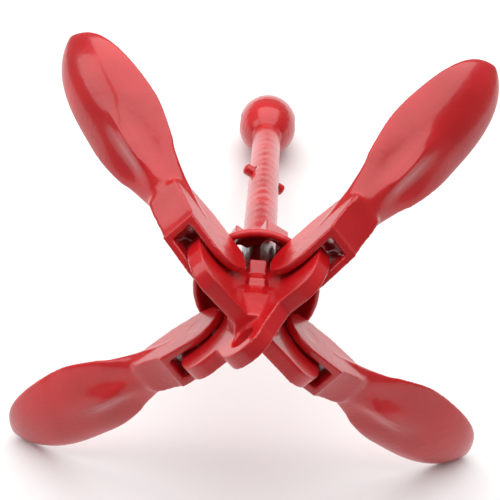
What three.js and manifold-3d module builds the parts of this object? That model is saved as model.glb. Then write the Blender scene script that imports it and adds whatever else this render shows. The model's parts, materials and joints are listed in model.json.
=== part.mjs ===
// Folding grapnel anchor, 1.5 kg class: four spoon-shaped flukes hinge on the crown of a shank, and a bell-shaped
// collar slides on the shank and keeps them open. Millimetres, +Z up.
//
// The anchor is designed along its own shank: +Y runs from the pivot pins (Y = 0) to the head, +X to the right.
// At the end it is laid on the ground, where it rests on its two lower fluke tips and on its head.
// A fluke is designed along its own arm: x outwards from the pivot pin, y towards the head, z along the pin.

import * as THREE from "three";
import * as BufferGeometryUtils from "three/addons/utils/BufferGeometryUtils.js";
import Module from "manifold-3d";

const wasm = await Module();
wasm.setup();

// ---- driving dimensions -------------------------------------------------------------------------------------

const GAP = 0.3; // free space between two pieces that touch

const SHANK = { radius: 7, shoulderY: 16, footRadius: 5.2, footY: -16 };
const HEAD = { radius: 15.1, centreY: 223, halfLength: 22.5, endFlatRadius: 5.2, eyeRadius: 5.5 };
const LOCK_PIN = { radius: 2.6, halfLength: 10.8 };
const UPPER_LOCK = { y: 136.7, azimuth: 151 };
const LOWER_LOCK = { y: 52.5, azimuth: 61 };

const PIVOT = { radial: 24, pinRadius: 3.2 };
const LUG = { thickness: 6.2, backY: 11, frontY: -24.5, endRadial: 33.5 };
const HUB = { radius: 9.6, waistY: -12, frontRadius: 6.6 };
const HUB_PEAKS = [{ y: 9.5, tipRadius: 13.2, height: 8 }, { y: -3, tipRadius: 11.6, height: 7 }];
const PEAK_WIDTH = 6.6;
const TRIP_EYE = { radial: -2, y: -30, radius: 10, holeRadius: 4.8, halfBase: 15 };
const CROWN_PIN = { radius: 2, y: 3, azimuth: 0 };

const COLLAR = { rimRadius: 24, rimY: 11.8, wall: 3, webY: 36, neckRadius: 11.2, neckY: 44, topY: 48.5 };
const COLLAR_BORE = 7.8;
const KEYWAY = { width: 6.4, radius: 11.8, bossRadius: 13.9, bossY: 37 };

const FORK = { halfHeight: 11, halfWidth: 7.2, slotHalfWidth: 4.3, slotEnd: 11.5, slotRound: 12.3, stepAt: 14, neckEnd: 32 };
const FOLDED_ANGLE = 80; // of a folded fluke, from square to the shank
const FOLD_ROOM = 0.7; // between the lug's back edge and the web of a folded fluke
const BLADE = {
  nearBend: [45, 8],
  farBend: [88, 1.5],
  tip: [109.6, 22],
  neckHalfWidth: 7.4,
  halfWidth: 17,
  widensFrom: 0.03,
  widest: 0.51,
  tipFullness: 2.15, // 2 is an elliptic tip, more is a blunter one
  dish: 5,
  edge: 2.4,
  neckThickness: 18,
  tipThickness: 3.4,
  squareness: 2 / 3, // 1 is a plain oval section, less is a fuller one
};
// armAngle: how far the arm is raised towards the head; lean: how far it is turned aside in its loose fork
const FLUKES = [
  { name: "fluke_upper_right", azimuth: 45, armAngle: 24, lean: -3 },
  { name: "fluke_upper_left", azimuth: 135, armAngle: 29, lean: 2 },
  { name: "fluke_lower_left", azimuth: 225, armAngle: 10, lean: -4 },
  { name: "fluke_lower_right", azimuth: 315, armAngle: 14, lean: 4 },
];

const SIDES = 32; // facets around a full turn

// ---- materials ----------------------------------------------------------------------------------------------

const redCoating = new THREE.MeshStandardMaterial({ color: 0xb5171c, roughness: 0.3, metalness: 0.0 });
const darkCoating = new THREE.MeshStandardMaterial({ color: 0x9c1418, roughness: 0.35, metalness: 0.0 });

// ---- helpers ------------------------------------------------------------------------------------------------

const radians = THREE.MathUtils.degToRad;

/** A closed three.js geometry as a solid that can be joined and cut. */
function toSolid(geometry) {
  const bare = geometry.clone();
  bare.deleteAttribute("normal");
  bare.deleteAttribute("uv");
  const merged = BufferGeometryUtils.mergeVertices(bare, 1e-4);
  const mesh = new wasm.Mesh({
    numProp: 3,
    vertProperties: new Float32Array(merged.attributes.position.array),
    triVerts: new Uint32Array(merged.index.array),
  });
  return new wasm.Manifold(mesh);
}

/** A solid as a three.js geometry. */
function toGeometry(solid) {
  const mesh = solid.getMesh();
  const geometry = new THREE.BufferGeometry();
  geometry.setAttribute("position", new THREE.BufferAttribute(mesh.vertProperties, 3));
  geometry.setIndex(new THREE.BufferAttribute(mesh.triVerts, 1));
  geometry.computeVertexNormals();
  return geometry;
}

/** A named mesh from a solid. */
function part(name, solid, material) {
  const mesh = new THREE.Mesh(toGeometry(solid), material);
  mesh.name = name;
  return mesh;
}

/** A solid turned about +Y so that its +X points along the azimuth, which is counted from +X towards +Z. */
function atAzimuth(geometry, azimuth) {
  return toSolid(geometry.rotateY(-radians(azimuth)));
}

/** A fluke's own shape set at its pivot pin: raised by its arm angle, leaned, and turned to its azimuth. */
function hung(geometry, { azimuth, armAngle, lean }) {
  geometry.rotateZ(radians(armAngle)).rotateY(-radians(lean)).translate(PIVOT.radial, 0, 0);
  return atAzimuth(geometry, azimuth);
}

/** A turned solid about +Y from [radius, y] points that go up one side, from the axis back to the axis. */
function turned(points) {
  return toSolid(new THREE.LatheGeometry(points.map(([r, y]) => new THREE.Vector2(r, y)), SIDES));
}

/** A plate of the outline in the X-Y plane, its thickness centred on Z = 0. */
function plate(shape, thickness) {
  const geometry = new THREE.ExtrudeGeometry(shape, { depth: thickness, bevelEnabled: false, curveSegments: 12 });
  return geometry.translate(0, 0, -thickness / 2);
}

/** A round bar along X, centred on the origin, its two ends domed. */
function crossPin(radius, halfLength) {
  const dome = radius * 0.35;
  const end = halfLength - dome;
  const outline = [[0, -halfLength], [radius * 0.6, -halfLength + dome * 0.3], [radius, -end], [radius, end],
    [radius * 0.6, halfLength - dome * 0.3], [0, halfLength]];
  const profile = outline.map(([r, y]) => new THREE.Vector2(r, y));
  return new THREE.LatheGeometry(profile, 16).rotateZ(-Math.PI / 2);
}

/** A plain round bar along Z, centred on the origin. */
function roundBar(radius, length, sides = 24) {
  return new THREE.CylinderGeometry(radius, radius, length, sides).rotateX(Math.PI / 2);
}

// ---- shank --------------------------------------------------------------------------------------------------

/** Points of the head's egg, from where it leaves the shank up to the small flat at its end. */
function headProfile() {
  const start = -Math.acos(SHANK.radius / HEAD.radius);
  const end = Math.acos(HEAD.endFlatRadius / HEAD.radius);
  const steps = 12;
  const egg = Array.from({ length: steps + 1 }, (_, i) => {
    const angle = start + ((end - start) * i) / steps;
    return [HEAD.radius * Math.cos(angle), HEAD.centreY + HEAD.halfLength * Math.sin(angle)];
  });
  return [...egg, [0, egg[steps][1]]];
}

function makeShank() {
  const foot = SHANK.footRadius;
  const body = turned([[0, SHANK.footY], [foot, SHANK.footY], [foot, SHANK.shoulderY], [SHANK.radius, SHANK.shoulderY],
    ...headProfile()]);
  const eyeHole = roundBar(HEAD.eyeRadius, 3 * HEAD.radius).rotateY(Math.PI / 2).translate(0, HEAD.centreY, 0);
  let solid = body.subtract(toSolid(eyeHole));
  for (const lock of [UPPER_LOCK, LOWER_LOCK]) {
    solid = solid.subtract(pinHole(LOCK_PIN.radius + GAP, lock));
  }
  return solid.subtract(pinHole(CROWN_PIN.radius + GAP, CROWN_PIN));
}

/** The hole of a cross pin that lies at a height and azimuth of the shank. */
function pinHole(radius, { y, azimuth }) {
  const bar = new THREE.CylinderGeometry(radius, radius, 4 * HEAD.radius, 16).rotateZ(Math.PI / 2);
  return atAzimuth(bar.translate(0, y, 0), azimuth);
}

function makeLockPin({ y, azimuth }) {
  return atAzimuth(crossPin(LOCK_PIN.radius, LOCK_PIN.halfLength).translate(0, y, 0), azimuth);
}

// ---- crown --------------------------------------------------------------------------------------------------

/** One arm of the cross, from the axis out to its round end around the pivot pin. */
function lugOutline() {
  const { backY, frontY, endRadial } = LUG;
  const shape = new THREE.Shape();
  shape.moveTo(0, frontY);
  shape.lineTo(PIVOT.radial - 1, frontY);
  shape.quadraticCurveTo(endRadial - 3, frontY + 2, endRadial - 1, frontY / 2);
  shape.quadraticCurveTo(endRadial + 1, 0, endRadial - 3, backY / 2);
  shape.quadraticCurveTo(endRadial - 5, backY, PIVOT.radial, backY);
  shape.lineTo(0, backY);
  return shape;
}

/** The tab of the trip line, which grows out of two opposite arms at the front of the crown. */
function tripEyeOutline() {
  const { radial, y, radius, halfBase } = TRIP_EYE;
  const root = LUG.frontY + 1;
  const shape = new THREE.Shape();
  shape.moveTo(halfBase, root);
  shape.lineTo(-halfBase, root);
  shape.absarc(radial, y, radius, Math.PI + 0.3, 2 * Math.PI - 0.3, false);
  return shape;
}

/** A small roof-shaped block on the hub between two arms, its ridge across the shank. */
function hubPeak(azimuth, { y, tipRadius, height }) {
  const half = height / 2;
  const roof = new THREE.Shape();
  roof.moveTo(0, y - half);
  roof.lineTo(tipRadius - half, y - half);
  roof.lineTo(tipRadius, y);
  roof.lineTo(tipRadius - half, y + half);
  roof.lineTo(0, y + half);
  return atAzimuth(plate(roof, PEAK_WIDTH), azimuth);
}

/** The hub: a round waist that narrows to a square nose between the arms. */
function makeHub() {
  const top = SHANK.shoulderY - GAP;
  const waist = turned([[0, HUB.waistY], [HUB.radius, HUB.waistY], [HUB.radius, top - 3], [HUB.radius - 1.5, top],
    [0, top]]);
  const noseHeight = HUB.waistY - LUG.frontY;
  const corner = Math.SQRT2;
  const nose = new THREE.CylinderGeometry(HUB.radius * corner, HUB.frontRadius * corner, noseHeight, 4);
  const square = nose.rotateY(Math.PI / 4).translate(0, (HUB.waistY + LUG.frontY) / 2, 0);
  return waist.add(toSolid(square));
}

function makeCrown() {
  let solid = makeHub();
  for (const { azimuth } of FLUKES) solid = solid.add(atAzimuth(plate(lugOutline(), LUG.thickness), azimuth));
  for (const azimuth of [90, 270]) {
    for (const peak of HUB_PEAKS) solid = solid.add(hubPeak(azimuth, peak));
  }
  solid = solid.add(atAzimuth(plate(tripEyeOutline(), LUG.thickness), FLUKES[0].azimuth));

  const eyeHole = roundBar(TRIP_EYE.holeRadius, 4 * LUG.thickness).translate(TRIP_EYE.radial, TRIP_EYE.y, 0);
  solid = solid.subtract(atAzimuth(eyeHole, FLUKES[0].azimuth));
  for (const { azimuth } of FLUKES) {
    const pivotHole = roundBar(PIVOT.pinRadius + 2 * GAP, 2 * LUG.thickness).translate(PIVOT.radial, 0, 0);
    solid = solid.subtract(atAzimuth(pivotHole, azimuth));
  }
  const boreLength = SHANK.shoulderY + 5 - SHANK.footY;
  const bore = new THREE.CylinderGeometry(SHANK.footRadius + GAP, SHANK.footRadius + GAP, boreLength, SIDES);
  solid = solid.subtract(toSolid(bore.translate(0, SHANK.footY - GAP + boreLength / 2, 0)));
  return solid.subtract(pinHole(CROWN_PIN.radius + GAP, CROWN_PIN));
}

function makeCrownPin() {
  return atAzimuth(crossPin(CROWN_PIN.radius, HUB.radius - GAP).translate(0, CROWN_PIN.y, 0), CROWN_PIN.azimuth);
}

/** The riveted pin of a fluke, which leans with the fluke and turns in the hole of its lug. */
function makePivotPin(fluke) {
  const length = 2 * (FORK.halfWidth - GAP);
  return hung(roundBar(PIVOT.pinRadius, length, 20), fluke);
}

// ---- collar -------------------------------------------------------------------------------------------------

function makeCollar() {
  const { rimRadius, rimY, wall, webY, neckRadius, neckY, topY } = COLLAR;
  const inner = rimRadius - wall;
  const lip = wall / 3;
  const slope = (rimRadius - neckRadius) / (neckY - rimY - 2 * lip); // of the cone, radius lost per height
  const coneAt = (y) => rimRadius - slope * Math.max(0, y - rimY - 2 * lip);
  const solid = turned([[0, webY], [coneAt(webY) - 1.6 * wall, webY], [coneAt(webY - wall) - wall, webY - wall],
    [inner, rimY + 2 * lip], [inner, rimY + lip], [inner + lip, rimY], [rimRadius - lip, rimY],
    [rimRadius, rimY + lip], [rimRadius, rimY + 2 * lip], [coneAt(neckY), neckY], [neckRadius, topY - lip],
    [neckRadius - lip, topY], [0, topY]]);
  const tall = 3 * (topY - webY);
  const bore = new THREE.CylinderGeometry(COLLAR_BORE, COLLAR_BORE, tall, SIDES).translate(0, topY, 0);
  const bossHeight = topY - KEYWAY.bossY;
  const bossed = [UPPER_LOCK, LOWER_LOCK].reduce((rest, { azimuth }) => {
    const boss = new THREE.BoxGeometry(2 * KEYWAY.bossRadius, bossHeight, KEYWAY.width + 4 * lip);
    return rest.add(atAzimuth(boss.translate(0, KEYWAY.bossY + bossHeight / 2, 0), azimuth));
  }, solid);
  const cut = [UPPER_LOCK, LOWER_LOCK].reduce((rest, { azimuth }) => {
    const slot = new THREE.BoxGeometry(2 * KEYWAY.radius, tall, KEYWAY.width).translate(0, topY, 0);
    return rest.subtract(atAzimuth(slot, azimuth));
  }, bossed);
  return cut.subtract(toSolid(bore));
}

// ---- flukes -------------------------------------------------------------------------------------------------

/** Side outline of the fork: round heel about the pin, straight cheeks, and a low step down to the neck. */
function forkOutline() {
  const { halfHeight, stepAt, neckEnd } = FORK;
  const shape = new THREE.Shape();
  shape.moveTo(0, -halfHeight);
  shape.lineTo(stepAt, -halfHeight);
  shape.lineTo(stepAt + 1, -halfHeight + 1.2);
  shape.quadraticCurveTo(stepAt + 8, -halfHeight / 2, neckEnd, -3);
  shape.lineTo(neckEnd, 6);
  shape.lineTo(stepAt, halfHeight - 0.5);
  shape.lineTo(0, halfHeight);
  shape.absarc(0, 0, halfHeight, Math.PI / 2, Math.PI * 1.5, false);
  return shape;
}

/** Middle line of the blade in the side view: straight on from the fork, then a rising curve to the tip. */
const bladeCurve = new THREE.CubicBezierCurve(
  new THREE.Vector2(FORK.stepAt - 1, 0),
  new THREE.Vector2(...BLADE.nearBend),
  new THREE.Vector2(...BLADE.farBend),
  new THREE.Vector2(...BLADE.tip),
);

/** Half of the blade's width at s, from 0 at the fork to 1 at the tip: widening, then a pointed round end. */
function bladeHalfWidth(s) {
  const spread = THREE.MathUtils.smoothstep(s, BLADE.widensFrom, BLADE.widest);
  const full = THREE.MathUtils.lerp(BLADE.neckHalfWidth, BLADE.halfWidth, spread);
  if (s <= BLADE.widest) return full;
  const beyond = (s - BLADE.widest) / (1 - BLADE.widest);
  const round = (1 - Math.min(beyond, 1) ** BLADE.tipFullness) ** (1 / BLADE.tipFullness);
  return full * Math.max(0.03, round);
}

/** Thickness along the middle of the blade at s: deep at the neck, thin at the tip. */
function bladeThickness(s) {
  const thinning = THREE.MathUtils.smoothstep(s, -0.15, 0.6);
  return THREE.MathUtils.lerp(BLADE.neckThickness, BLADE.tipThickness, thinning);
}

/** The blade: a round bar whose rings are reshaped into dished, lens-shaped sections along the middle line. */
function bladeGeometry() {
  const rings = 20;
  const bar = new THREE.CylinderGeometry(1, 1, 1, 20, rings);
  const position = bar.attributes.position;
  for (let i = 0; i < position.count; i += 1) {
    const s = position.getY(i) + 0.5;
    const across = position.getX(i);
    const up = position.getZ(i);
    const a = Math.sign(across) * Math.abs(across) ** BLADE.squareness;
    const b = Math.sign(up) * Math.abs(up) ** BLADE.squareness;
    const centre = bladeCurve.getPoint(s);
    const slope = bladeCurve.getTangent(s);
    const bowl = BLADE.dish * THREE.MathUtils.smoothstep(s, 0.2, 0.6) * (bladeHalfWidth(s) / BLADE.halfWidth) ** 2;
    const depth = BLADE.edge + (bladeThickness(s) - BLADE.edge) * (1 - a * a) ** 0.8;
    const lift = bowl * a * a + (b * depth) / 2;
    position.setXYZ(i, centre.x - slope.y * lift, centre.y + slope.x * lift, a * bladeHalfWidth(s));
  }
  return bar;
}

/**
 * The room of the lug in the fork: open to the front, and closed behind the lug's end by a thin web on the head's side.
 * The lug's end needs the round room, and its back edge, once the fluke is folded, needs the leaning box.
 */
function forkSlot() {
  const { halfHeight, slotEnd, slotHalfWidth, slotRound } = FORK;
  const width = 2 * slotHalfWidth;
  const tall = 2 * halfHeight;
  const reach = LUG.backY + FOLD_ROOM;
  const open = new THREE.BoxGeometry(tall, 2 * tall, width).translate(-tall / 2, 0, 0);
  const front = new THREE.BoxGeometry(slotEnd + tall, tall, width).translate((slotEnd - tall) / 2, -tall / 2, 0);
  const folded = new THREE.BoxGeometry(2 * tall, 2 * tall, width).translate(reach - tall, tall, 0);
  const leaning = folded.rotateZ(radians(90 - FOLDED_ANGLE));
  return [front, roundBar(slotRound, width, SIDES), leaning].reduce((room, box) => room.add(toSolid(box)), toSolid(open));
}

function makeFluke(fluke) {
  const fork = toSolid(plate(forkOutline(), 2 * FORK.halfWidth));
  const hole = roundBar(PIVOT.pinRadius + GAP, 4 * FORK.halfWidth);
  const solid = fork
    .add(toSolid(bladeGeometry()))
    .subtract(forkSlot())
    .subtract(toSolid(hole));
  return hung(toGeometry(solid), fluke);
}

// ---- assembly -----------------------------------------------------------------------------------------------

const anchor = new THREE.Group();
anchor.add(part("shank", makeShank(), redCoating));
anchor.add(part("upper_lock_pin", makeLockPin(UPPER_LOCK), redCoating));
anchor.add(part("lower_lock_pin", makeLockPin(LOWER_LOCK), redCoating));
anchor.add(part("crown", makeCrown(), redCoating));
anchor.add(part("crown_pin", makeCrownPin(), darkCoating));
anchor.add(part("collar", makeCollar(), redCoating));
for (const fluke of FLUKES) {
  anchor.add(part(fluke.name, makeFluke(fluke), redCoating));
  anchor.add(part(fluke.name.replace("fluke", "pivot_pin"), makePivotPin(fluke), darkCoating));
}

/** Lowest point of a group that holds the anchor, over the meshes that the test names. */
function lowest(group, wanted) {
  const box = new THREE.Box3();
  group.updateMatrixWorld(true);
  for (const mesh of anchor.children.filter(({ name }) => wanted.test(name))) {
    box.union(new THREE.Box3().setFromObject(mesh, true));
  }
  return box.min.z;
}

/** Tilts the anchor, head down, until the head and the lower fluke tips are at one height. */
function layOnGround() {
  const laid = new THREE.Group();
  laid.add(anchor);
  let [low, high] = [radians(5), radians(45)];
  for (let i = 0; i < 40; i += 1) {
    laid.rotation.x = -(low + high) / 2;
    const headAbove = lowest(laid, /^shank$/) > lowest(laid, /^fluke_lower/);
    if (headAbove) low = -laid.rotation.x;
    else high = -laid.rotation.x;
  }
  return laid;
}

const grapnel = layOnGround();
const bounds = new THREE.Box3().setFromObject(grapnel, true);
const middle = bounds.getCenter(new THREE.Vector3());
grapnel.position.set(-middle.x, -middle.y, -bounds.min.z);

export default grapnel;
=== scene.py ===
import json
import logging
import math
from dataclasses import dataclass, field
from enum import Enum

import bmesh
import bpy
import numpy as np
from mathutils import Matrix, Vector


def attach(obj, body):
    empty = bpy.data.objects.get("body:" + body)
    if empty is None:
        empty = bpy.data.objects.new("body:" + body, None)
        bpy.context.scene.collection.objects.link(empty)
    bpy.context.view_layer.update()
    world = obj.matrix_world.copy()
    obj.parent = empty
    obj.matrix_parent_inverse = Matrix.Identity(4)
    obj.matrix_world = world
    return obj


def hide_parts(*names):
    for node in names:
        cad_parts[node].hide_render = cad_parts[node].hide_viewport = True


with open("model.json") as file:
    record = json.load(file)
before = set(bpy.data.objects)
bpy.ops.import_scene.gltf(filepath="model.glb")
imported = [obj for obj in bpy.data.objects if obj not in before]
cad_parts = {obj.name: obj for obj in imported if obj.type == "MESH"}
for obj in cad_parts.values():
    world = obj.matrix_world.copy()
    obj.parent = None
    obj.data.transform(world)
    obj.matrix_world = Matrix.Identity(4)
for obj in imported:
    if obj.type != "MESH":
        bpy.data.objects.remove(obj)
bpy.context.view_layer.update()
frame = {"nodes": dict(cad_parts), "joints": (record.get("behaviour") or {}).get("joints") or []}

MM = 0.001
MERGE_DISTANCE = 0.00001

# Sockets of a Mix node in its colour mode, whose names it shares with its other modes.
MIX_FACTOR = 0
MIX_FIRST = 6
MIX_SECOND = 7
MIX_RESULT = 2

log = logging.getLogger("folding_anchor")


# ---- places in the anchor's own frame ------------------------------------------------------------


class Body(Enum):
    """The moving groups of the anchor."""

    FRAME = "anchor_frame"
    COLLAR = "sliding_collar"


class Slot(Enum):
    """The finishes named in the record."""

    RED = "red_coating"
    PINS = "pin_coating"


def joint(name: str) -> dict:
    """The record's joint of that name."""
    return next(j for j in frame["joints"] if j["name"] == name)


@dataclass(frozen=True)
class AnchorPlace:
    """Where the anchor lies: +Y along the shank from the pivot pins to the head, +X right, +Z up."""

    matrix: np.ndarray

    @classmethod
    def from_joints(cls) -> "AnchorPlace":
        """Works the placement out from the joints.

        The slide's axis is the shank's direction, and the mean of the four pivot pins is the anchor's origin.

        Returns:
            The placement, in metres.
        """
        along = np.array(joint("collar_slide")["axis"], float)
        right = np.array([1.0, 0.0, 0.0])
        up = np.cross(right, along)
        pins = [j["pos_m"] for j in frame["joints"] if j["type"] == "hinge"]
        matrix = np.eye(4)
        matrix[:3, 0], matrix[:3, 1], matrix[:3, 2] = right, along, up
        matrix[:3, 3] = np.mean(np.array(pins, float), axis=0)
        return cls(matrix)

    def point(self, xyz_mm: tuple[float, float, float]) -> Vector:
        """The world place of a point given in the anchor's millimetres."""
        return Vector(self.matrix[:3, :3] @ (np.array(xyz_mm, float) * MM) + self.matrix[:3, 3])

    def direction(self, xyz: tuple[float, float, float]) -> Vector:
        """The world direction of a direction of the anchor."""
        return Vector(self.matrix[:3, :3] @ np.array(xyz, float)).normalized()

    def put(self, local_mm: np.ndarray) -> np.ndarray:
        """World metres of rows of anchor millimetres."""
        return local_mm * MM @ self.matrix[:3, :3].T + self.matrix[:3, 3]

    def back(self, world: np.ndarray) -> np.ndarray:
        """Anchor millimetres of rows of world metres."""
        return (world - self.matrix[:3, 3]) @ self.matrix[:3, :3] / MM


@dataclass(frozen=True)
class Fluke:
    """How one fluke hangs on its pivot pin, in degrees."""

    name: str
    azimuth: float
    arm_angle: float
    lean: float
    pin_radial: float = 24.0

    @property
    def body(self) -> str:
        """Name of the fluke's body."""
        return f"fluke_{self.name}"

    def axes(self) -> tuple[np.ndarray, np.ndarray]:
        """The fluke's axes as columns and its pin's place, in the anchor's frame.

        Returns:
            The 3x3 matrix that turns fluke-local directions to the anchor's, and the pin's centre in mm.
        """
        fold, lean, round_ = (math.radians(v) for v in (self.arm_angle, self.lean, self.azimuth))
        raise_ = np.array(Matrix.Rotation(fold, 3, "Z"))
        tilt = np.array(Matrix.Rotation(-lean, 3, "Y"))
        turn = np.array(Matrix.Rotation(-round_, 3, "Y"))
        return turn @ tilt @ raise_, turn @ np.array([self.pin_radial, 0.0, 0.0])

    def to_anchor(self, local_mm: np.ndarray) -> np.ndarray:
        """Anchor millimetres of rows of fluke millimetres."""
        turn, pin = self.axes()
        return local_mm @ turn.T + pin

    def from_anchor(self, anchor_mm: np.ndarray) -> np.ndarray:
        """Fluke millimetres of rows of anchor millimetres."""
        turn, pin = self.axes()
        return (anchor_mm - pin) @ turn


# ---- meshes --------------------------------------------------------------------------------------


def smoothstep(x: np.ndarray, low: float, high: float) -> np.ndarray:
    """0 below low, 1 above high and a smooth S between."""
    t = np.clip((x - low) / (high - low), 0.0, 1.0)
    return t * t * (3 - 2 * t)


def tube(points: np.ndarray) -> tuple[np.ndarray, np.ndarray, list]:
    """Faces of a closed tube of rings, its two ends shut by a point each.

    The grid's first parameter runs along the tube and the second round it; the end points are ring means.

    Args:
        points: Ring points, as an array of rings x points x 3.

    Returns:
        Vertices, quads and the triangles of the two ends.
    """
    rings, around = points.shape[:2]
    index = np.arange(rings * around).reshape(rings, around)
    after = np.roll(index, -1, axis=1)
    quads = np.stack([index[:-1], after[:-1], after[1:], index[1:]], axis=-1).reshape(-1, 4)
    first, last = rings * around, rings * around + 1
    vertices = np.vstack([points.reshape(-1, 3), points[0].mean(0), points[-1].mean(0)])
    start = np.stack([np.full(around, first), after[0], index[0]], axis=-1)
    end = np.stack([np.full(around, last), index[-1], after[-1]], axis=-1)
    return vertices, quads, [*start.tolist(), *end.tolist()]


def new_object(name: str, vertices: np.ndarray, faces: list) -> bpy.types.Object:
    """A mesh object at the origin with its normals pointing outwards.

    Args:
        name: Object name.
        vertices: World metres, one row each.
        faces: Vertex numbers of each face.

    Returns:
        The linked object.
    """
    mesh = bpy.data.meshes.new(name)
    mesh.from_pydata(vertices.tolist(), [], faces)
    work = bmesh.new()
    work.from_mesh(mesh)
    bmesh.ops.recalc_face_normals(work, faces=work.faces)
    work.to_mesh(mesh)
    work.free()
    made = bpy.data.objects.new(name, mesh)
    bpy.context.scene.collection.objects.link(made)
    return made


def merged_copy(node: str, name: str) -> bpy.types.Object:
    """A copy of a CAD node with its loose triangles merged into one closed mesh.

    Args:
        node: Name of the CAD node.
        name: Name of the copy.

    Returns:
        The linked copy, with no material.
    """
    source = frame["nodes"][node]
    copy = bpy.data.objects.new(name, source.data.copy())
    bpy.context.scene.collection.objects.link(copy)
    copy.data.materials.clear()
    work = bmesh.new()
    work.from_mesh(copy.data)
    bmesh.ops.remove_doubles(work, verts=work.verts, dist=MERGE_DISTANCE)
    work.to_mesh(copy.data)
    work.free()
    return copy


def vertices_of(obj: bpy.types.Object) -> np.ndarray:
    """Reads all vertex places of a mesh.

    Args:
        obj: The mesh object.

    Returns:
        The places, one row each.
    """
    places = np.empty(len(obj.data.vertices) * 3)
    obj.data.vertices.foreach_get("co", places)
    return places.reshape(-1, 3)


def set_vertices(obj: bpy.types.Object, places: np.ndarray) -> None:
    """Puts the vertices of a mesh at the given places."""
    obj.data.vertices.foreach_set("co", places.ravel())
    obj.data.update()


def joined(name: str, objects: list[bpy.types.Object]) -> bpy.types.Object:
    """Gathers the shells of several objects in one and removes the objects.

    Args:
        name: Name of the new object.
        objects: The objects to gather.

    Returns:
        The linked object.
    """
    work = bmesh.new()
    for obj in objects:
        work.from_mesh(obj.data)
        bpy.data.objects.remove(obj)
    mesh = bpy.data.meshes.new(name)
    work.to_mesh(mesh)
    work.free()
    made = bpy.data.objects.new(name, mesh)
    bpy.context.scene.collection.objects.link(made)
    return made


def apply_modifiers(obj: bpy.types.Object) -> None:
    """Replaces the mesh by what its modifiers make of it.

    Args:
        obj: The object, which is left without modifiers.
    """
    graph = bpy.context.evaluated_depsgraph_get()
    finished = bpy.data.meshes.new_from_object(obj.evaluated_get(graph))
    obj.modifiers.clear()
    obj.data = finished


@dataclass(frozen=True)
class ThickCoat:
    """Fuses the shells of a casting and rounds its edges as a thick dipped coating does."""

    voxel_mm: float = 0.6
    smoothing: float = 0.5
    rounds: int = 6

    def cast(self, obj: bpy.types.Object) -> bpy.types.Object:
        """Fuses and rounds one casting.

        Args:
            obj: Overlapping closed shells.

        Returns:
            The same object, now one smooth-shaded skin.
        """
        fuse = obj.modifiers.new("fuse", "REMESH")
        fuse.mode = "VOXEL"
        fuse.voxel_size = self.voxel_mm * MM
        soften = obj.modifiers.new("soften", "SMOOTH")
        soften.factor = self.smoothing
        soften.iterations = self.rounds
        apply_modifiers(obj)
        obj.data.polygons.foreach_set("use_smooth", np.ones(len(obj.data.polygons), bool))
        return obj


# ---- finishes ------------------------------------------------------------------------------------


def cast_relief_group() -> bpy.types.NodeTree:
    """Height of a dipped casting's skin: slow waves of the coat over a finer lumpy casting.

    Returns:
        A group with inputs Waves, Lumps and Wave Scale and the output Height.
    """
    group = bpy.data.node_groups.new("cast_relief", "ShaderNodeTree")
    face = group.interface
    for name, default in (("Waves", 0.5), ("Lumps", 0.5), ("Wave Scale", 60.0)):
        face.new_socket(name, in_out="INPUT", socket_type="NodeSocketFloat").default_value = default
    face.new_socket("Height", in_out="OUTPUT", socket_type="NodeSocketFloat")
    nodes, links = group.nodes, group.links
    inputs, outputs = nodes.new("NodeGroupInput"), nodes.new("NodeGroupOutput")
    place = nodes.new("ShaderNodeTexCoord")
    waves, lumps = nodes.new("ShaderNodeTexNoise"), nodes.new("ShaderNodeTexNoise")
    waves.inputs["Detail"].default_value = 1.5
    lumps.inputs["Scale"].default_value = 420.0
    lumps.inputs["Detail"].default_value = 2.0
    links.new(place.outputs["Object"], waves.inputs["Vector"])
    links.new(place.outputs["Object"], lumps.inputs["Vector"])
    links.new(inputs.outputs["Wave Scale"], waves.inputs["Scale"])
    weigh_waves, weigh_lumps, total = (nodes.new("ShaderNodeMath") for _ in range(3))
    weigh_waves.operation = weigh_lumps.operation = "MULTIPLY"
    links.new(waves.outputs["Fac"], weigh_waves.inputs[0])
    links.new(inputs.outputs["Waves"], weigh_waves.inputs[1])
    links.new(lumps.outputs["Fac"], weigh_lumps.inputs[0])
    links.new(inputs.outputs["Lumps"], weigh_lumps.inputs[1])
    links.new(weigh_waves.outputs[0], total.inputs[0])
    links.new(weigh_lumps.outputs[0], total.inputs[1])
    links.new(total.outputs[0], outputs.inputs["Height"])
    return group


def coat_depth_group() -> bpy.types.NodeTree:
    """Mask that is high where the coating lies thin and low where it has pooled.

    Returns:
        A group with the input Scale and the output Thinness.
    """
    group = bpy.data.node_groups.new("coat_depth", "ShaderNodeTree")
    group.interface.new_socket("Scale", in_out="INPUT", socket_type="NodeSocketFloat").default_value = 35.0
    group.interface.new_socket("Thinness", in_out="OUTPUT", socket_type="NodeSocketFloat")
    nodes, links = group.nodes, group.links
    inputs, outputs = nodes.new("NodeGroupInput"), nodes.new("NodeGroupOutput")
    place, cloud, spread = (
        nodes.new(kind) for kind in ("ShaderNodeTexCoord", "ShaderNodeTexNoise", "ShaderNodeMapRange")
    )
    cloud.inputs["Detail"].default_value = 3.0
    spread.inputs["From Min"].default_value, spread.inputs["From Max"].default_value = 0.35, 0.65
    links.new(place.outputs["Object"], cloud.inputs["Vector"])
    links.new(inputs.outputs["Scale"], cloud.inputs["Scale"])
    links.new(cloud.outputs["Fac"], spread.inputs["Value"])
    links.new(spread.outputs["Result"], outputs.inputs["Thinness"])
    return group


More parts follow.
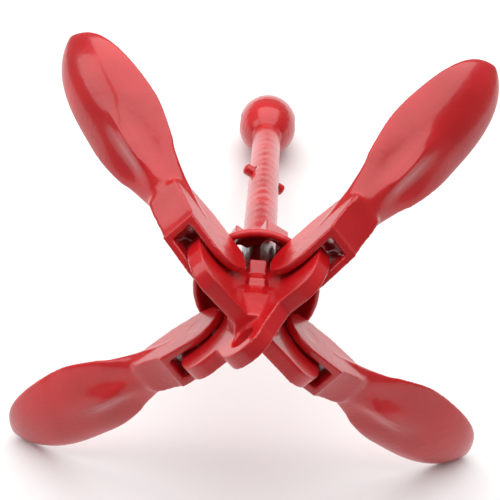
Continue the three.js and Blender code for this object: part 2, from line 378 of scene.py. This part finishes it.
@dataclass(frozen=True)
class RedCoating:
    """A thick glossy dipped coating over cast iron."""

    name: str
    pooled: tuple[float, float, float]
    thin: tuple[float, float, float]
    roughness: float = 0.3
    gloss: float = 0.45
    gloss_roughness: float = 0.1
    sheen_level: float = 0.3
    waves: float = 0.7
    lumps: float = 0.25
    bump_mm: float = 0.5

    def material(self, relief: bpy.types.NodeTree, depth: bpy.types.NodeTree) -> bpy.types.Material:
        """Builds the material.

        Args:
            relief: The cast relief group.
            depth: The coat depth group.

        Returns:
            The finished material.
        """
        made = bpy.data.materials.new(self.name)
        made.use_nodes = True
        nodes, links = made.node_tree.nodes, made.node_tree.links
        shader = nodes["Principled BSDF"]
        shader.inputs["Roughness"].default_value = self.roughness
        shader.inputs["Specular IOR Level"].default_value = self.sheen_level
        shader.inputs["Coat Weight"].default_value = self.gloss
        shader.inputs["Coat Roughness"].default_value = self.gloss_roughness
        thickness, tint = nodes.new("ShaderNodeGroup"), nodes.new("ShaderNodeMix")
        thickness.node_tree = depth
        tint.data_type = "RGBA"
        tint.inputs[MIX_FIRST].default_value = (*self.pooled, 1.0)
        tint.inputs[MIX_SECOND].default_value = (*self.thin, 1.0)
        links.new(thickness.outputs["Thinness"], tint.inputs[MIX_FACTOR])
        links.new(tint.outputs[MIX_RESULT], shader.inputs["Base Color"])
        skin, bump = nodes.new("ShaderNodeGroup"), nodes.new("ShaderNodeBump")
        skin.node_tree = relief
        skin.inputs["Waves"].default_value = self.waves
        skin.inputs["Lumps"].default_value = self.lumps
        bump.inputs["Distance"].default_value = self.bump_mm * MM
        links.new(skin.outputs["Height"], bump.inputs["Height"])
        links.new(bump.outputs["Normal"], shader.inputs["Normal"])
        return made


@dataclass
class Finishes:
    """The two coatings of the anchor, by slot."""

    by_slot: dict = field(default_factory=dict)

    def build(self) -> "Finishes":
        """Builds the shared groups and both materials.

        Returns:
            The finishes themselves.
        """
        relief, depth = cast_relief_group(), coat_depth_group()
        castings = RedCoating("red_coating", pooled=(0.45, 0.005, 0.008), thin=(0.57, 0.011, 0.014))
        pins = RedCoating("pin_coating", pooled=(0.38, 0.005, 0.007), thin=(0.46, 0.010, 0.012), lumps=0.1)
        self.by_slot = {Slot.RED: castings.material(relief, depth), Slot.PINS: pins.material(relief, depth)}
        return self

    def dress(self, obj: bpy.types.Object, slot: Slot, body: str, node: str) -> None:
        """Gives a finished piece its material, its body and the CAD node it stands for.

        Args:
            obj: The piece.
            slot: Its finish.
            body: The body it moves with.
            node: The CAD node it replaces.
        """
        obj.data.materials.clear()
        obj.data.materials.append(self.by_slot[slot])
        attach(obj, body)
        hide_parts(node)
        log.info("%s: %d faces, rides %s", obj.name, len(obj.data.polygons), body)


# ---- sub-assemblies ------------------------------------------------------------------------------


@dataclass
class ShankCasting:
    """The shank with its foot and head, rounded by the coating and wrinkled along its length."""

    place: AnchorPlace
    wrinkle_mm: float = 0.028
    wrinkle_from: float = 60.0
    wrinkle_to: float = 195.0
    fades_in_over: float = 15.0
    fades_out_over: float = 12.0
    least_radius: float = 1e-6
    coat: ThickCoat = ThickCoat(voxel_mm=0.6, smoothing=0.5, rounds=5)

    def wrinkled(self, anchor_mm: np.ndarray) -> np.ndarray:
        """Moves points in and out from the shank's axis.

        The move is the sum of three sine waves of the height, whose phase shifts slowly with the angle
        round the shank, so the wrinkles run across it. It fades out towards the collar and the head.

        Args:
            anchor_mm: Points in the anchor's frame.

        Returns:
            The moved points.
        """
        x, y, z = anchor_mm.T
        radius = np.maximum(np.hypot(x, z), self.least_radius)
        angle = np.arctan2(z, x)
        middling = np.sin(0.37 * y + 2.6 * np.sin(angle + 0.11 * y))
        quick = 0.7 * np.sin(0.83 * y + 2.1 * np.cos(2 * angle))
        slow = 0.9 * np.sin(0.13 * y + 3 * np.sin(angle + 1.0))
        fade = smoothstep(y, self.wrinkle_from - self.fades_in_over, self.wrinkle_from)
        fade *= 1 - smoothstep(y, self.wrinkle_to, self.wrinkle_to + self.fades_out_over)
        move = self.wrinkle_mm * (middling + quick + slow) * fade / radius
        return anchor_mm + np.stack([x * move, np.zeros_like(y), z * move], axis=1)

    def build(self, finishes: Finishes) -> None:
        """Builds and dresses the shank.

        Args:
            finishes: The coatings.
        """
        shank = self.coat.cast(merged_copy("shank", "shank_casting"))
        moved = self.wrinkled(self.place.back(vertices_of(shank)))
        set_vertices(shank, self.place.put(moved))
        finishes.dress(shank, Slot.RED, Body.FRAME.value, "shank")


@dataclass
class CrownCasting:
    """The cross of four lugs with its hub, its nubs and the trip line's eye."""

    coat: ThickCoat = ThickCoat(voxel_mm=0.45, smoothing=0.5, rounds=6)

    def build(self, finishes: Finishes) -> None:
        """Builds and dresses the crown.

        Args:
            finishes: The coatings.
        """
        crown = self.coat.cast(merged_copy("crown", "crown_casting"))
        finishes.dress(crown, Slot.RED, Body.FRAME.value, "crown")


@dataclass
class CollarCasting:
    """The bell collar that slides on the shank."""

    coat: ThickCoat = ThickCoat(voxel_mm=0.45, smoothing=0.5, rounds=5)

    def build(self, finishes: Finishes) -> None:
        """Builds and dresses the collar.

        Args:
            finishes: The coatings.
        """
        collar = self.coat.cast(merged_copy("collar", "collar_casting"))
        finishes.dress(collar, Slot.RED, Body.COLLAR.value, "collar")


@dataclass
class Pins:
    """The pivot pins, the crown pin and the two lock pins.

    A pivot pin ends inside the coating of its cheeks.
    """

    place: AnchorPlace
    bevel_mm: float = 0.35
    bevel_segments: int = 3
    bevel_from_degrees: float = 40.0
    pivot_share: float = 0.81

    def shortened(self, pin: bpy.types.Object, fluke: Fluke) -> None:
        """Draws a pivot pin in along its own axis, so that it ends under the coating.

        Args:
            pin: The pin.
            fluke: The fluke that it carries.
        """
        local = fluke.from_anchor(self.place.back(vertices_of(pin)))
        local[:, 2] *= self.pivot_share
        set_vertices(pin, self.place.put(fluke.to_anchor(local)))

    def build(self, finishes: Finishes, flukes: list[Fluke]) -> None:
        """Builds and dresses every pin.

        Args:
            finishes: The coatings.
            flukes: The flukes, whose pivot pins turn with them.
        """
        owners = {f"pivot_pin_{f.name}": (f.body, Slot.PINS) for f in flukes}
        owners["crown_pin"] = (Body.FRAME.value, Slot.PINS)
        owners["upper_lock_pin"] = owners["lower_lock_pin"] = (Body.FRAME.value, Slot.RED)
        for node, (body, slot) in owners.items():
            pin = merged_copy(node, f"{node}_bar")
            for fluke in flukes:
                if fluke.body == body:
                    self.shortened(pin, fluke)
            rounding = pin.modifiers.new("rounding", "BEVEL")
            rounding.width = self.bevel_mm * MM
            rounding.segments = self.bevel_segments
            rounding.limit_method = "ANGLE"
            rounding.angle_limit = math.radians(self.bevel_from_degrees)
            apply_modifiers(pin)
            pin.data.polygons.foreach_set("use_smooth", np.ones(len(pin.data.polygons), bool))
            finishes.dress(pin, slot, body, node)


@dataclass
class FlukeCasting:
    """A forked arm with a spoon blade, in the fluke's own millimetres: x out along the arm, y to the head."""

    place: AnchorPlace
    fluke: Fluke
    near_bend: tuple[float, float] = (45.0, 8.0)
    far_bend: tuple[float, float] = (88.0, 1.5)
    tip: tuple[float, float] = (109.6, 22.0)
    root: float = 13.0
    neck_half_width: float = 7.4
    half_width: float = 17.0
    widens_from: float = 0.03
    widest: float = 0.51
    tip_fullness: float = 2.15
    tip_least_share: float = 0.03
    dish: float = 5.0
    dish_deepens: tuple[float, float] = (0.2, 0.6)
    edge: float = 2.6
    plate_thickness: float = 4.2
    neck_thickness: float = 18.0
    neck_thins: tuple[float, float] = (-0.15, 0.6)
    squareness: float = 2 / 3
    belly: float = 0.8
    rib_width: float = 0.25
    rib_fades: tuple[float, float] = (0.08, 0.62)
    neck_blend: tuple[float, float] = (0.17, 0.42)
    fork_end: float = 31.0
    melt_from: float = 25.0
    melt_to: float = 46.0
    melt_ease: float = 6.0
    melt_rounds: int = 90
    melt_factor: float = 0.5
    melt_levels: int = 20
    crown_side_share: float = 0.85
    cheek_outside: float = 7.1
    plug_depth: float = 1.2
    plug_radius: float = 4.3
    plug_points: int = 48
    coat: ThickCoat = ThickCoat(voxel_mm=0.5, smoothing=0.5, rounds=6)

    def middle_line(self, s: np.ndarray) -> tuple[np.ndarray, np.ndarray]:
        """Middle of the blade in its side view, a cubic curve of four control points.

        Args:
            s: Places along the blade, 0 at the fork and 1 at the tip.

        Returns:
            Points and unit tangents, one row each.
        """
        a, b, c, d = (np.array(p) for p in ((self.root, 0.0), self.near_bend, self.far_bend, self.tip))
        s = s[:, None]
        r = 1 - s
        points = r**3 * a + 3 * r * r * s * b + 3 * r * s * s * c + s**3 * d
        slopes = 3 * r * r * (b - a) + 6 * r * s * (c - b) + 3 * s * s * (d - c)
        return points, slopes / np.linalg.norm(slopes, axis=1, keepdims=True)

    def half_widths(self, s: np.ndarray) -> np.ndarray:
        """Half width of the blade: a smooth step out from the neck, then a blunt elliptic end.

        Args:
            s: Places along the blade.

        Returns:
            The half width at each place.
        """
        spread = smoothstep(s, self.widens_from, self.widest)
        full = self.neck_half_width + (self.half_width - self.neck_half_width) * spread
        beyond = np.clip((s - self.widest) / (1 - self.widest), 0, 1)
        rounding = (1 - beyond**self.tip_fullness) ** (1 / self.tip_fullness)
        return full * np.maximum(self.tip_least_share, rounding)

    def blade(self, rings: int = 160, around: int = 96) -> bpy.types.Object:
        """The spoon blade, a lens section carried along the middle line.

        A section's point lies at a = sign(cos v)|cos v|^squareness of the half width. Its height is the
        bowl times a squared, plus or minus half of the depth. The depth is a thin plate plus a rib, a bell
        curve of a that takes up the neck's thickness and fades out along the blade, so a hollow lies on
        each side of it. By the fork the depth is that of the fork's own lens section, into which it blends.

        Args:
            rings: Sections along the blade.
            around: Points round a section.

        Returns:
            The closed blade.
        """
        s = np.sin(np.linspace(0, math.pi / 2, rings))
        v = np.linspace(0, 2 * math.pi, around, endpoint=False)
        a = (np.sign(np.cos(v)) * np.abs(np.cos(v)) ** self.squareness)[None, :]
        b = (np.sign(np.sin(v)) * np.abs(np.sin(v)) ** self.squareness)[None, :]
        points, tangents = self.middle_line(s)
        half = self.half_widths(s)[:, None]
        bowl = self.dish * smoothstep(s, *self.dish_deepens)[:, None] * (half / self.half_width) ** 2
        lens = np.clip(1 - a * a, 0, 1) ** self.belly
        plate = self.edge + (self.plate_thickness - self.edge) * lens
        fading = (1 - smoothstep(s, *self.rib_fades))[:, None]
        rib = (self.neck_thickness - self.plate_thickness) * fading * np.exp(-((a / self.rib_width) ** 2))
        thinning = smoothstep(s, *self.neck_thins)[:, None]
        thick = self.neck_thickness + (self.edge - self.neck_thickness) * thinning
        neck = self.edge + (thick - self.edge) * lens
        away = smoothstep(s, *self.neck_blend)[:, None]
        share = np.where(b < 0, self.crown_side_share, 1 - self.crown_side_share)
        lift = bowl * a * a + b * (neck * (1 - away) / 2 + (plate / 2 + rib * share) * away)
        x = points[:, :1] - tangents[:, 1:] * lift
        y = points[:, 1:] + tangents[:, :1] * lift
        z = a * half
        vertices, quads, ends = tube(np.stack([x, y, z], axis=-1))
        world = self.place.put(self.fluke.to_anchor(vertices))
        return new_object("blade", world, [*quads.tolist(), *ends])

    def fork(self) -> bpy.types.Object:
        """Cuts the CAD fluke square across its arm, so that only the fork is left.

        Returns:
            The closed fork.
        """
        fork = merged_copy(self.fluke.body, "fork")
        turn, _ = self.fluke.axes()
        end_local = np.array([[self.fork_end, 0.0, 0.0]])
        cut_at = self.place.point(tuple(self.fluke.to_anchor(end_local)[0]))
        outwards = self.place.direction(tuple(turn[:, 0]))
        work = bmesh.new()
        work.from_mesh(fork.data)
        cut = bmesh.ops.bisect_plane(
            work,
            geom=[*work.verts, *work.edges, *work.faces],
            plane_co=cut_at,
            plane_no=outwards,
            clear_outer=True,
        )
        rim = [e for e in cut["geom_cut"] if isinstance(e, bmesh.types.BMEdge)]
        bmesh.ops.edgeloop_fill(work, edges=rim)
        work.to_mesh(fork.data)
        work.free()
        return fork

    def plug(self, side: int) -> bpy.types.Object:
        """The coating over one riveted end of the pivot pin, flush with the cheek.

        A circle of the plug's radius is carried along the pin's axis through the plug's depth.

        Args:
            side: 1 or -1, the cheek.

        Returns:
            The closed disc.
        """
        v = np.linspace(0, 2 * math.pi, self.plug_points, endpoint=False)
        z = side * np.array([self.cheek_outside - self.plug_depth, self.cheek_outside])[:, None]
        circle = self.plug_radius * np.stack([np.cos(v), np.sin(v)], axis=-1)[None]
        heights = np.repeat(z, len(v), axis=1)[..., None]
        points = np.concatenate([np.repeat(circle, 2, axis=0), heights], axis=-1)
        vertices, quads, ends = tube(points)
        world = self.place.put(self.fluke.to_anchor(vertices))
        return new_object("plug", world, [*quads.tolist(), *ends])

    def melt_neck(self, casting: bpy.types.Object) -> None:
        """Runs the fork's end smoothly into the blade.

        The smoothing's weight rises and falls as a smooth step of the distance out along the arm.

        Args:
            casting: The fused fluke.
        """
        out = self.fluke.from_anchor(self.place.back(vertices_of(casting)))[:, 0]
        weight = smoothstep(out, self.melt_from, self.melt_from + self.melt_ease)
        weight *= 1 - smoothstep(out, self.melt_to - self.melt_ease, self.melt_to)
        group = casting.vertex_groups.new(name="neck")
        levels = np.round(weight * self.melt_levels).astype(int)
        for level in range(1, self.melt_levels + 1):
            group.add(np.flatnonzero(levels == level).tolist(), level / self.melt_levels, "REPLACE")
        melting = casting.modifiers.new("melting", "SMOOTH")
        melting.factor = self.melt_factor
        melting.iterations = self.melt_rounds
        melting.vertex_group = group.name
        apply_modifiers(casting)

    def build(self, finishes: Finishes) -> None:
        """Builds and dresses the fluke.

        Args:
            finishes: The coatings.
        """
        shells = [self.fork(), self.blade(), self.plug(1), self.plug(-1)]
        casting = self.coat.cast(joined(f"{self.fluke.body}_casting", shells))
        self.melt_neck(casting)
        finishes.dress(casting, Slot.RED, self.fluke.body, self.fluke.body)


FLUKES = [
    Fluke("upper_right", azimuth=45, arm_angle=24, lean=-3),
    Fluke("upper_left", azimuth=135, arm_angle=29, lean=2),
    Fluke("lower_left", azimuth=225, arm_angle=10, lean=-4),
    Fluke("lower_right", azimuth=315, arm_angle=14, lean=4),
]


# ---- studio --------------------------------------------------------------------------------------


@dataclass
class Studio:
    """A pale floor, soft lights and the camera."""

    place: AnchorPlace
    camera_mm: tuple[float, float, float] = (-1.45, -436.28, 201.08)
    forward: tuple[float, float, float] = (-0.00398, 0.92416, -0.38199)
    up: tuple[float, float, float] = (-0.07663, 0.38059, 0.92156)
    lens: float = 94.3
    sensor: float = 36.0
    near_and_far: tuple[float, float] = (0.01, 50.0)
    floor_size: float = 3.0
    floor_colour: tuple[float, float, float, float] = (0.92, 0.92, 0.92, 1.0)
    floor_roughness: float = 0.9
    lights_aim: tuple[float, float, float] = (0.0, 0.0, 0.08)
    world_strength: float = 0.3

    def floor(self) -> None:
        """A large pale floor under the object."""
        half = self.floor_size / 2
        corners = np.array([[-half, -half, 0], [half, -half, 0], [half, half, 0], [-half, half, 0]], float)
        ground = new_object("floor", corners, [(0, 1, 2, 3)])
        paint = bpy.data.materials.new("floor_paint")
        paint.use_nodes = True
        shader = paint.node_tree.nodes["Principled BSDF"]
        shader.inputs["Base Color"].default_value = self.floor_colour
        shader.inputs["Roughness"].default_value = self.floor_roughness
        ground.data.materials.append(paint)

    def softbox(self, name: str, at: tuple[float, float, float], size: float, watts: float) -> None:
        """A square soft light aimed at the object.

        Args:
            name: Light name.
            at: Its place in metres.
            size: Its side in metres.
            watts: Its power.
        """
        lamp = bpy.data.lights.new(name, "AREA")
        lamp.size, lamp.energy = size, watts
        holder = bpy.data.objects.new(name, lamp)
        holder.location = at
        aim = Vector(self.lights_aim) - Vector(at)
        holder.rotation_euler = aim.to_track_quat("-Z", "Y").to_euler()
        bpy.context.scene.collection.objects.link(holder)

    def camera(self) -> None:
        """The camera, which looks at the crown and up along the shank."""
        lens = bpy.data.cameras.new("camera")
        lens.lens, lens.sensor_width = self.lens, self.sensor
        lens.clip_start, lens.clip_end = self.near_and_far
        holder = bpy.data.objects.new("camera", lens)
        forward, up = self.place.direction(self.forward), self.place.direction(self.up)
        right = forward.cross(up).normalized()
        turn = Matrix((right, right.cross(forward), -forward)).transposed().to_4x4()
        turn.translation = self.place.point(self.camera_mm)
        holder.matrix_world = turn
        bpy.context.scene.collection.objects.link(holder)
        bpy.context.scene.camera = holder

    def build(self) -> None:
        """Sets up the floor, the lights and the camera."""
        world = bpy.data.worlds.new("studio")
        world.use_nodes = True
        sky = world.node_tree.nodes["Background"]
        sky.inputs["Color"].default_value = (1.0, 1.0, 1.0, 1.0)
        sky.inputs["Strength"].default_value = self.world_strength
        nodes, links = world.node_tree.nodes, world.node_tree.links
        seen, way, either = (
            nodes.new(kind) for kind in ("ShaderNodeBackground", "ShaderNodeLightPath", "ShaderNodeMixShader")
        )
        seen.inputs["Color"].default_value = (1.0, 1.0, 1.0, 1.0)
        links.new(way.outputs["Is Camera Ray"], either.inputs["Fac"])
        links.new(sky.outputs["Background"], either.inputs[1])
        links.new(seen.outputs["Background"], either.inputs[2])
        links.new(either.outputs["Shader"], nodes["World Output"].inputs["Surface"])
        bpy.context.scene.world = world
        bpy.context.scene.view_settings.view_transform = "Standard"
        self.floor()
        self.softbox("top_light", at=(0.0, 0.5, 1.7), size=2.6, watts=52.0)
        self.softbox("left_light", at=(-1.2, 0.1, 0.9), size=0.8, watts=5.0)
        self.camera()


def main() -> None:
    """Builds every piece and the studio, in order."""
    logging.basicConfig(level=logging.INFO, format="%(name)s: %(message)s")
    place = AnchorPlace.from_joints()
    finishes = Finishes().build()
    ShankCasting(place).build(finishes)
    CrownCasting().build(finishes)
    CollarCasting().build(finishes)
    Pins(place).build(finishes, FLUKES)
    for fluke in FLUKES:
        FlukeCasting(place, fluke).build(finishes)
    Studio(place).build()


if __name__ == "__main__":
    main()
